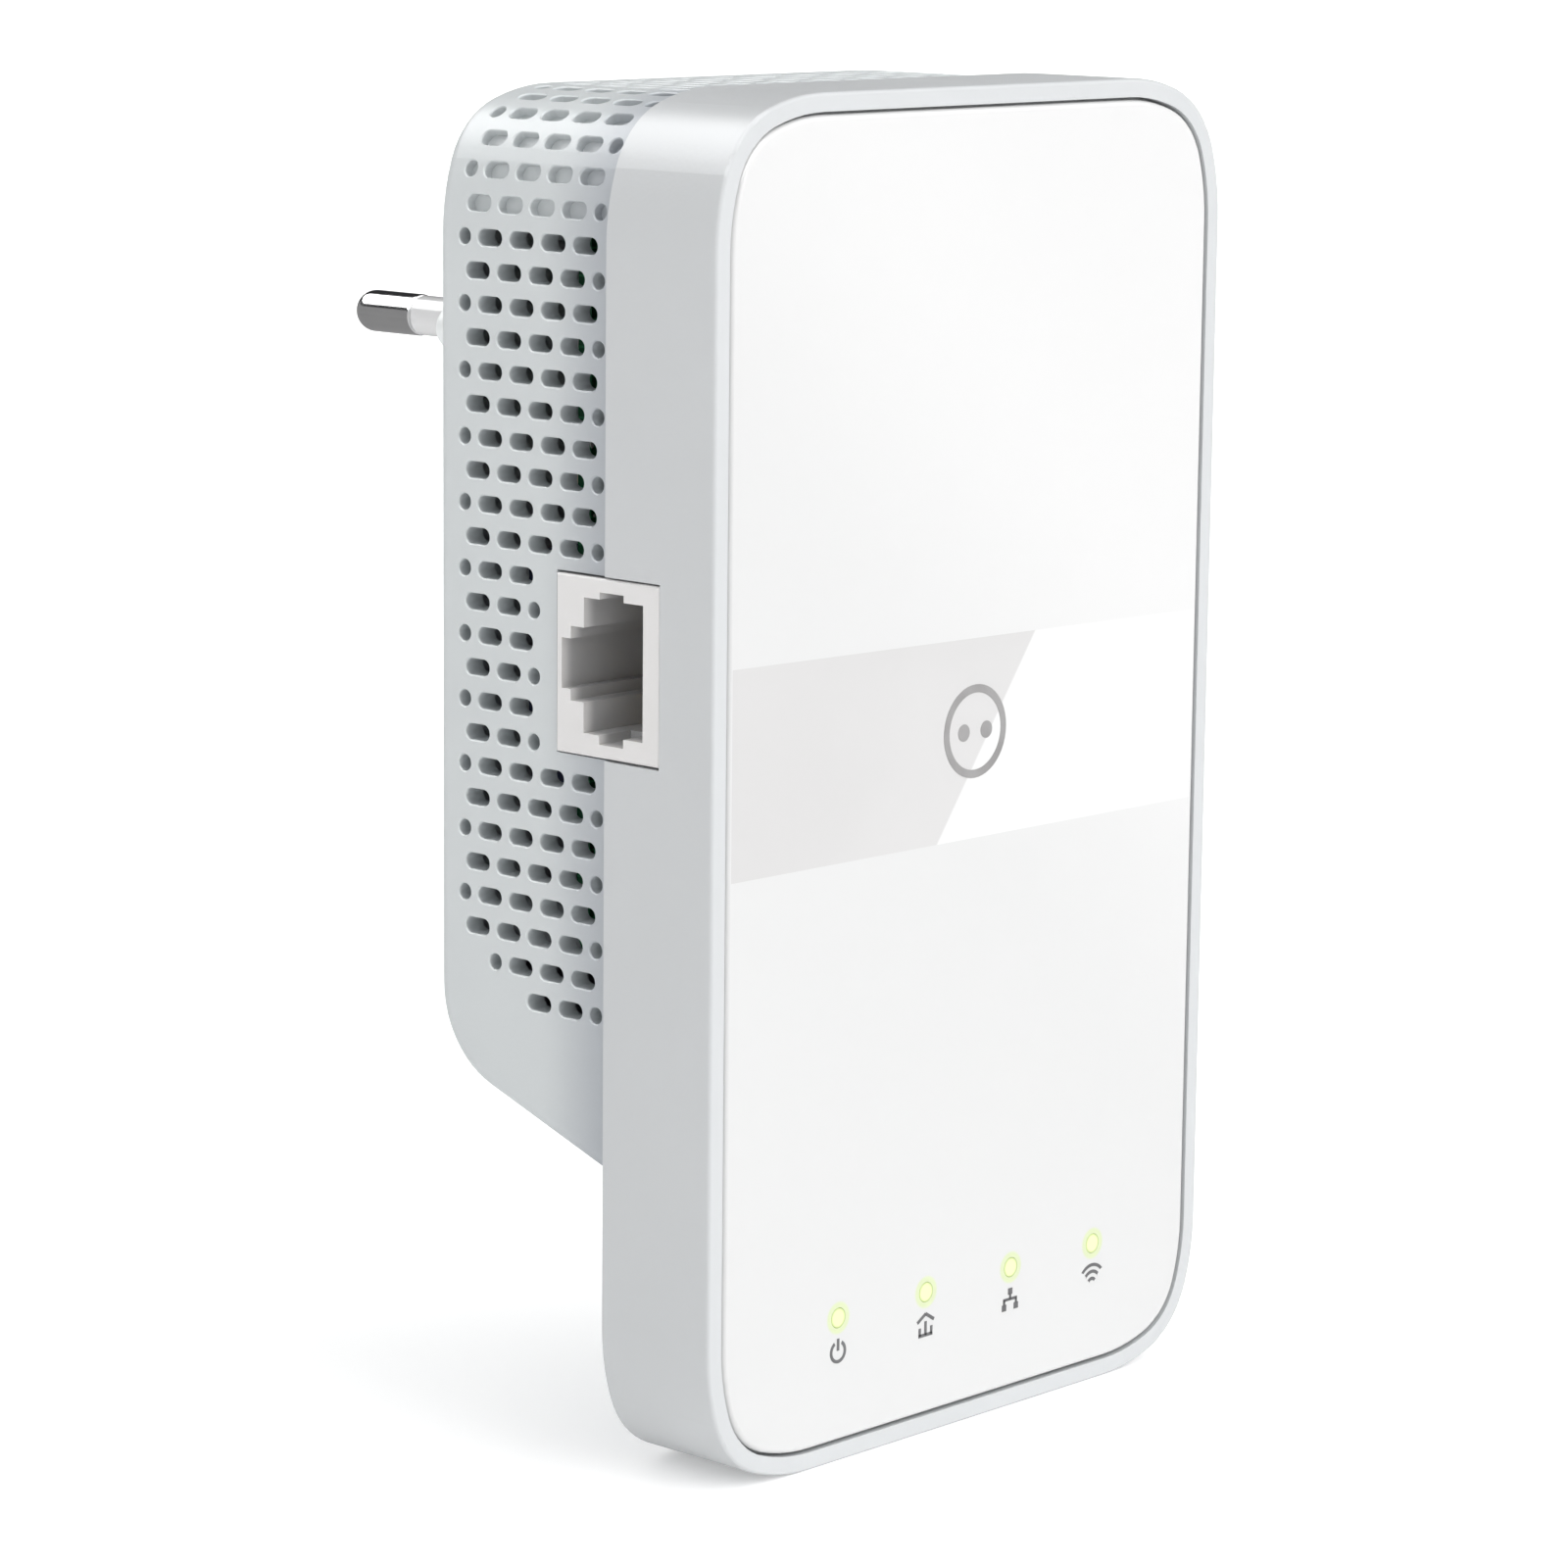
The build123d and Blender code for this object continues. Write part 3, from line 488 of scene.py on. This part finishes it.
satin = {"grain": 2600.0, "drift": 45.0, "relief": 0.03 * mm, "bump": 0.12, "spread": 0.05}
looks = {
    "case_plastic": {**satin, "base": (0.555, 0.569, 0.579), "shade": (0.543, 0.557, 0.567), "rough": 0.33},
    "plate_plastic": {
        "grain": 900.0, "drift": 25.0, "relief": 0.01 * mm, "bump": 0.03, "spread": 0.02,
        "base": (0.685, 0.685, 0.685), "shade": (0.678, 0.678, 0.678), "rough": 0.07, "coat": 0.4,
        "pattern": plateGlowAndShade,
    },
    "band_film": {
        "grain": 900.0, "drift": 30.0, "relief": 0.01 * mm, "bump": 0.02, "spread": 0.02,
        "base": (0.56, 0.555, 0.555), "shade": (0.585, 0.58, 0.58), "rough": 0.06, "coat": 0.5,
        "pattern": paintedBandReflection,
    },
    "label_film": {
        **satin, "base": (0.78, 0.79, 0.79), "shade": (0.74, 0.75, 0.75), "rough": 0.42,
        "pattern": printedFrame,
    },
    "plug_plastic": {**satin, "base": (0.80, 0.82, 0.82), "shade": (0.76, 0.78, 0.78), "rough": 0.38},
    "sleeve_plastic": {
        **satin, "base": (0.70, 0.70, 0.705), "shade": (0.67, 0.67, 0.675), "rough": 0.18,
        "coat": 0.6, "coatRough": 0.12,
    },
    "pin_metal": {
        "metallic": 1.0, "stretch": (2500.0, 120.0, 2500.0), "drift": 300.0, "relief": 0.005 * mm,
        "bump": 0.02, "spread": 0.04, "base": (0.68, 0.68, 0.685), "shade": (0.64, 0.64, 0.645),
        "rough": 0.12,
    },
    "terminal_brass": {
        "metallic": 1.0, "stretch": (400.0, 2500.0, 2500.0), "drift": 200.0, "relief": 0.02 * mm,
        "spread": 0.15, "base": (0.78, 0.60, 0.28), "shade": (0.60, 0.43, 0.18), "rough": 0.28,
    },
    "screw_steel": {
        "metallic": 1.0, "grain": 3500.0, "drift": 500.0, "relief": 0.02 * mm,
        "spread": 0.15, "base": (0.56, 0.57, 0.59), "shade": (0.42, 0.43, 0.45), "rough": 0.30,
    },
    "button_plastic": {**satin, "base": (0.74, 0.77, 0.78), "shade": (0.70, 0.73, 0.74), "rough": 0.32},
    "switch_plastic": {**satin, "base": (0.035, 0.035, 0.038), "shade": (0.06, 0.06, 0.062), "rough": 0.48},
    "plunger_plastic": {**satin, "base": (0.66, 0.64, 0.58), "shade": (0.60, 0.58, 0.52), "rough": 0.40},
    "jack_plastic": {
        **satin, "base": (0.70, 0.69, 0.685), "shade": (0.67, 0.66, 0.655), "rough": 0.45,
        "pattern": paintedCavityShade,
    },
    "contact_gold": {
        "metallic": 1.0, "stretch": (300.0, 3000.0, 3000.0), "drift": 400.0, "relief": 0.01 * mm,
        "spread": 0.10, "base": (0.92, 0.68, 0.26), "shade": (0.78, 0.54, 0.18), "rough": 0.18,
    },
    "board_laminate": {
        "grain": 1800.0, "drift": 60.0, "relief": 0.02 * mm, "spread": 0.08,
        "base": (0.02, 0.17, 0.07), "shade": (0.015, 0.13, 0.055), "rough": 0.28, "pattern": boardTraces,
    },
    "chip_epoxy": {
        "grain": 3200.0, "drift": 150.0, "relief": 0.03 * mm, "spread": 0.10,
        "base": (0.022, 0.022, 0.024), "shade": (0.045, 0.045, 0.047), "rough": 0.50,
        "specks": (2600.0, 0.10, (0.09, 0.09, 0.09)),
    },
    "tin_plate": {
        "metallic": 1.0, "stretch": (250.0, 2500.0, 2500.0), "drift": 130.0, "relief": 0.02 * mm,
        "spread": 0.18, "base": (0.66, 0.66, 0.65), "shade": (0.50, 0.50, 0.49), "rough": 0.24,
    },
    "sink_aluminium": {
        "metallic": 1.0, "stretch": (3000.0, 3000.0, 140.0), "drift": 90.0, "relief": 0.03 * mm,
        "spread": 0.12, "base": (0.60, 0.61, 0.63), "shade": (0.46, 0.47, 0.49), "rough": 0.38,
    },
    "can_sleeve": {
        "grain": 1500.0, "drift": 80.0, "relief": 0.01 * mm, "spread": 0.08,
        "base": (0.03, 0.04, 0.10), "shade": (0.05, 0.06, 0.13), "rough": 0.30, "pattern": canStripe,
    },
    "pad_silicone": {
        "grain": 1200.0, "drift": 120.0, "relief": 0.04 * mm, "spread": 0.08,
        "base": (0.40, 0.48, 0.62), "shade": (0.34, 0.42, 0.56), "rough": 0.70,
    },
    "guide_clear": {
        "grain": 1200.0, "drift": 90.0, "relief": 0.01 * mm, "spread": 0.05, "bump": 0.05, "clear": 0.15,
        "glow": 0.5, "base": (0.50, 0.56, 0.32), "shade": (0.48, 0.54, 0.30), "rough": 0.12,
        "pattern": guideGlow,
    },
    "led_body": {
        "grain": 1500.0, "drift": 300.0, "relief": 0.01 * mm, "spread": 0.06,
        "base": (0.86, 0.85, 0.70), "shade": (0.80, 0.78, 0.58), "rough": 0.32,
    },
    "shroud_plastic": {**satin, "base": (0.020, 0.020, 0.021), "shade": (0.035, 0.035, 0.036), "rough": 0.55},
    "ferrite": {
        "grain": 1400.0, "drift": 110.0, "relief": 0.05 * mm, "spread": 0.12,
        "base": (0.055, 0.055, 0.060), "shade": (0.085, 0.085, 0.090), "rough": 0.58,
        "specks": (1700.0, 0.12, (0.16, 0.16, 0.17)),
    },
    "winding_tape": {
        "grain": 900.0, "drift": 70.0, "relief": 0.02 * mm, "spread": 0.08,
        "base": (0.82, 0.58, 0.06), "shade": (0.74, 0.50, 0.04), "rough": 0.26, "pattern": tapeBands,
    },
    "component_case": {
        "grain": 1100.0, "drift": 70.0, "relief": 0.03 * mm, "spread": 0.08,
        "base": (0.06, 0.18, 0.46), "shade": (0.05, 0.14, 0.38), "rough": 0.30,
    },
    "fuse_ceramic": {
        "grain": 1600.0, "drift": 140.0, "relief": 0.03 * mm, "spread": 0.10,
        "base": (0.74, 0.69, 0.56), "shade": (0.66, 0.61, 0.48), "rough": 0.46,
        "specks": (1900.0, 0.08, (0.48, 0.42, 0.32)),
    },
    "insulation_film": {
        "grain": 800.0, "drift": 35.0, "relief": 0.02 * mm, "spread": 0.10,
        "base": (0.76, 0.74, 0.64), "shade": (0.70, 0.68, 0.57), "rough": 0.34,
    },
}
rearLook = {
    **satin, "base": (0.58, 0.607, 0.615), "shade": (0.558, 0.584, 0.593), "rough": 0.38,
    "pattern": paintedRearShade,
}
inkLook = {
    "grain": 3000.0, "drift": 300.0, "relief": 0.005 * mm, "bump": 0.1, "spread": 0.10,
    "base": (0.10, 0.10, 0.104), "shade": (0.13, 0.13, 0.134), "rough": 0.35,
}
greyInkLook = {**inkLook, "base": (0.24, 0.235, 0.235), "shade": (0.29, 0.285, 0.285)}
finishes = {slotName: makeFinish(slotName, look) for slotName, look in looks.items()}
rearFinish = makeFinish("rear_shell_plastic", rearLook)
inkFinish = makeFinish("printed_ink", inkLook)
greyInkFinish = makeFinish("printed_grey_ink", greyInkLook)


def paint(piece, material):
    if not piece.material_slots:
        piece.data.materials.append(material)
    for place in piece.material_slots:
        place.material = material


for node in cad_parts.values():
    slotName = node.material_slots[0].material.name.split(".")[0]
    paint(node, finishes[slotName])
paint(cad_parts["rear_shell"], rearFinish)
print("finishes made:", len(bpy.data.materials))


# printed marks, each drawn flat about the origin, thickened and set on its face

mark = {"stroke": 0.32 * mm, "ink": 0.03 * mm, "drop": 3.05 * mm, "ringSides": 48, "discSides": 24}


def clearSelection():
    bpy.ops.object.select_all(action="DESELECT")


def settle(piece):
    clearSelection()
    piece.select_set(True)
    bpy.context.view_layer.objects.active = piece
    bpy.ops.object.transform_apply(location=True, rotation=True, scale=True)


def flatBar(start, end, width=None):
    width = width or mark["stroke"]
    run = Vector(end) - Vector(start)
    centre = (Vector(start) + Vector(end)) / 2
    clearSelection()
    bpy.ops.mesh.primitive_plane_add(size=1, location=(centre.x, centre.y, 0))
    bar = bpy.context.object
    bar.scale = (run.length, width, 1)
    bar.rotation_euler.z = math.atan2(run.y, run.x)
    settle(bar)
    return bar


def flatRing(centre, outer, width=None, start=None, end=None):
    # start and end are anticlockwise from +X, at most half a turn apart, and bound what is kept
    width = width or mark["stroke"]
    clearSelection()
    bpy.ops.mesh.primitive_circle_add(
        vertices=mark["ringSides"], radius=outer, fill_type="NGON", location=(0, 0, 0))
    ring = bpy.context.object
    bpy.ops.object.mode_set(mode="EDIT")
    bpy.ops.mesh.select_all(action="SELECT")
    bpy.ops.mesh.inset(thickness=width)
    bpy.ops.mesh.delete(type="FACE")
    if start is not None:
        cuts = (
            (math.sin(start), -math.cos(start), 0),
            (-math.sin(end), math.cos(end), 0),
        )
        for cut in cuts:
            bpy.ops.mesh.select_all(action="SELECT")
            bpy.ops.mesh.bisect(plane_co=(0, 0, 0), plane_no=cut, clear_outer=True)
    bpy.ops.object.mode_set(mode="OBJECT")
    ring.location = (centre[0], centre[1], 0)
    settle(ring)
    return ring


def flatDisc(centre, radius):
    clearSelection()
    bpy.ops.mesh.primitive_circle_add(
        vertices=mark["discSides"], radius=radius, fill_type="NGON", location=(centre[0], centre[1], 0))
    disc = bpy.context.object
    settle(disc)
    return disc


def printMark(name, shapes, place, turn, body, material):
    clearSelection()
    for shape in shapes:
        shape.select_set(True)
    bpy.context.view_layer.objects.active = shapes[0]
    if len(shapes) > 1:
        bpy.ops.object.join()
    piece = bpy.context.object
    piece.name = name
    bpy.ops.object.mode_set(mode="EDIT")
    bpy.ops.mesh.select_all(action="SELECT")
    bpy.ops.mesh.extrude_region_move(TRANSFORM_OT_translate={"value": (0, 0, mark["ink"])})
    bpy.ops.mesh.select_all(action="SELECT")
    bpy.ops.mesh.normals_make_consistent(inside=False)
    bpy.ops.object.mode_set(mode="OBJECT")
    piece.rotation_euler = turn
    piece.location = place
    settle(piece)
    paint(piece, material)
    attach(piece, body)


frontTurn = (math.radians(90), 0, 0)
sideTurn = (math.radians(90), 0, math.radians(90))


def powerShapes():
    # an open ring with a stem in its gap
    centre, outer, stem = (0, -0.1 * mm), 1.08 * mm, 1.12 * mm
    up, down, gap = math.radians(90), math.radians(270), math.radians(32)
    return [
        flatRing(centre, outer, start=up + gap, end=down),
        flatRing(centre, outer, start=down - math.tau, end=up - gap),
        flatBar((0, 0), (0, stem)),
    ]


def houseShapes():
    # a roof over an open box with a stem
    eave, ridge, floor = 0.3 * mm, 1.0 * mm, -1.0 * mm
    roof, wall, top = 1.15 * mm, 0.8 * mm, -0.25 * mm
    half = mark["stroke"] / 2
    return [
        flatBar((-roof, eave), (0, ridge)),
        flatBar((0, ridge), (roof, eave)),
        flatBar((-wall, top), (-wall, floor)),
        flatBar((wall, top), (wall, floor)),
        flatBar((-wall - half, floor), (wall + half, floor)),
        flatBar((0, eave), (0, floor)),
    ]


def networkShapes():
    # one box over two, joined by thin links
    box, link = 0.62 * mm, 0.28 * mm
    level, spread, stem, elbow = 0.75 * mm, 0.85 * mm, 0.5 * mm, 0.99 * mm
    shapes = [flatBar((-box / 2, level), (box / 2, level), box)]
    for x in (-spread, spread):
        shapes.append(flatBar((x - box / 2, -level), (x + box / 2, -level), box))
        shapes.append(flatBar((x, 0), (x, -stem), link))
    shapes.append(flatBar((-elbow, 0), (elbow, 0), link))
    shapes.append(flatBar((0, stem), (0, 0), link))
    return shapes


def waveShapes():
    # three arcs about one foot
    foot = (0, -0.95 * mm)
    start, end = math.radians(42), math.radians(138)
    radii = (2.05 * mm, 1.4 * mm, 0.72 * mm)
    return [flatRing(foot, radius, start=start, end=end) for radius in radii]


def printIndicators():
    drawings = {
        "power_mark": powerShapes,
        "house_mark": houseShapes,
        "network_mark": networkShapes,
        "wireless_mark": waveShapes,
    }
    for x, (name, draw) in zip(lightXs, drawings.items()):
        place = (x, faceCentre.y, lightZ - mark["drop"])
        printMark(name, draw(), place, frontTurn, "case", inkFinish)


socketMark = {
    "x": 0.3 * mm, "z": 3.4 * mm, "radius": 4.3 * mm, "line": 0.75 * mm,
    "hole": 0.8 * mm, "apart": 1.55 * mm,
}


def printSocketMark():
    # a plain round wall socket in the middle of the band
    shapes = [flatRing((0, 0), socketMark["radius"], socketMark["line"])]
    shapes += [flatDisc((side * socketMark["apart"], 0), socketMark["hole"]) for side in (-1, 1)]
    place = (faceCentre.x + socketMark["x"], faceCentre.y, faceCentre.z + socketMark["z"])
    printMark("socket_mark", shapes, place, frontTurn, "case", greyInkFinish)


def printButtonMarks():
    for body, draw in (("pair_button", houseShapes), ("wifi_button", waveShapes)):
        low, high = (Vector(corner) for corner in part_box(body))
        place = (high.x, (low.y + high.y) / 2, (low.z + high.z) / 2)
        printMark(body + "_print", draw(), place, sideTurn, body, greyInkFinish)


printIndicators()
printSocketMark()
printButtonMarks()
print("marks printed")


# floor, lights and camera

floorLook = {
    "grain": 40.0, "drift": 3.0, "relief": 0.01 * mm, "bump": 0.02, "spread": 0.05,
    "base": (0.97, 0.97, 0.97), "shade": (0.96, 0.96, 0.96), "rough": 0.75, "glow": 0.2,
}
floorSize = 14.0


def floorGlow(tree, colour, shader):
    tree.links.new(colour, shader.inputs["Emission Color"])
    return colour


def layFloor():
    clearSelection()
    bpy.ops.mesh.primitive_plane_add(size=floorSize, location=(0, 0, cadBounds[0][2]))
    floor = bpy.context.object
    floor.name = "floor"
    paint(floor, makeFinish("floor_paper", {**floorLook, "pattern": floorGlow}))
    settle(floor)
    floor.visible_glossy = False


# each pair is where a mask starts and where it is full, as parts of a ray's direction
studio = {
    "strength": 0.8,
    "white": (1.0, 1.0, 1.0),
    "grey": (0.42, 0.42, 0.42),
    "dark": (0.04, 0.04, 0.042),
    "panel": (9.0, 9.0, 9.0),
    "panelRise": (0.44, 0.5),
    "panelAcross": (0.22, 0.12),
    "wallAcross": (0.12, 0.22),
    "wallRise": (-0.1, 0.1),
    "stripFoot": (0.26, 0.3),
    "stripHead": (0.44, 0.4),
    "front": (0.1, -0.1),
}


def paintWorld():
    # even white for all but shiny rays, which see a grey room with a dark wall, a dark strip and
    # one bright panel
    world = bpy.data.worlds.new("studio")
    bpy.context.scene.world = world
    world.use_nodes = True
    tree = world.node_tree
    sky = tree.nodes["Background"]
    sky.inputs["Strength"].default_value = studio["strength"]
    coords = addNode(tree, "ShaderNodeTexCoord", -1300, 0)
    axes = addNode(tree, "ShaderNodeSeparateXYZ", -1100, 0)
    tree.links.new(coords.outputs["Generated"], axes.inputs[0])
    across, ahead, rise = axes.outputs
    high = stepMask(tree, rise, *studio["panelRise"], -900, 200)
    left = stepMask(tree, across, *studio["panelAcross"], -900, 0)
    panel = mathNode(tree, "MULTIPLY", high, left, -700, 100)
    wallSide = stepMask(tree, across, *studio["wallAcross"], -900, -200)
    wallHigh = stepMask(tree, rise, *studio["wallRise"], -900, -400)
    wall = mathNode(tree, "MULTIPLY", wallSide, wallHigh, -700, -300)
    stripFoot = stepMask(tree, rise, *studio["stripFoot"], -900, -800)
    stripHead = stepMask(tree, rise, *studio["stripHead"], -900, -1000)
    strip = mathNode(tree, "MULTIPLY", stripFoot, stripHead, -700, -900)
    nearFront = stepMask(tree, ahead, *studio["front"], -900, -600)
    room = mixColour(tree, wall, studio["grey"], studio["dark"], -600, -300)
    room = mixColour(tree, strip, room, studio["dark"], -500, -300)
    room = mixColour(tree, nearFront, room, studio["white"], -400, 0)
    seen = mixColour(tree, panel, room, studio["panel"], -300, 0)
    rays = addNode(tree, "ShaderNodeLightPath", -500, -600)
    colour = mixColour(tree, rays.outputs["Is Glossy Ray"], studio["white"], seen, -150, 0)
    tree.links.new(colour, sky.inputs["Color"])


softSun = {"towards": (0.37, -0.74, 0.56), "strength": 1.6, "angle": 70}


def hangSun():
    data = bpy.data.lights.new("softSun", "SUN")
    data.energy = softSun["strength"]
    data.angle = math.radians(softSun["angle"])
    holder = bpy.data.objects.new("softSun", data)
    holder.rotation_euler = (-Vector(softSun["towards"])).to_track_quat("-Z", "Y").to_euler()
    bpy.context.scene.collection.objects.link(holder)


view = {
    "aim": (5.32 * mm, -23.91 * mm, -43.12 * mm),
    "distance": 501.73 * mm,
    "azimuth": -47.34,
    "elevation": 10.287,
    "roll": 0.583,
    "lens": 121.1,
    "sensor": 36,
    "clipStart": 0.01,
}


def placeCamera():
    turn, rise = math.radians(view["azimuth"]), math.radians(view["elevation"])
    back = Vector((math.sin(turn) * math.cos(rise), -math.cos(turn) * math.cos(rise), math.sin(rise)))
    data = bpy.data.cameras.new("camera")
    data.lens = view["lens"]
    data.sensor_width = view["sensor"]
    data.clip_start = view["clipStart"]
    camera = bpy.data.objects.new("camera", data)
    camera.rotation_mode = "QUATERNION"
    level = (-back).to_track_quat("-Z", "Y")
    camera.rotation_quaternion = level @ Quaternion((0, 0, 1), math.radians(view["roll"]))
    camera.location = Vector(view["aim"]) + view["distance"] * back
    bpy.context.scene.collection.objects.link(camera)
    bpy.context.scene.camera = camera


layFloor()
paintWorld()
hangSun()
placeCamera()
bpy.context.scene.view_settings.view_transform = "Standard"
print("studio set")
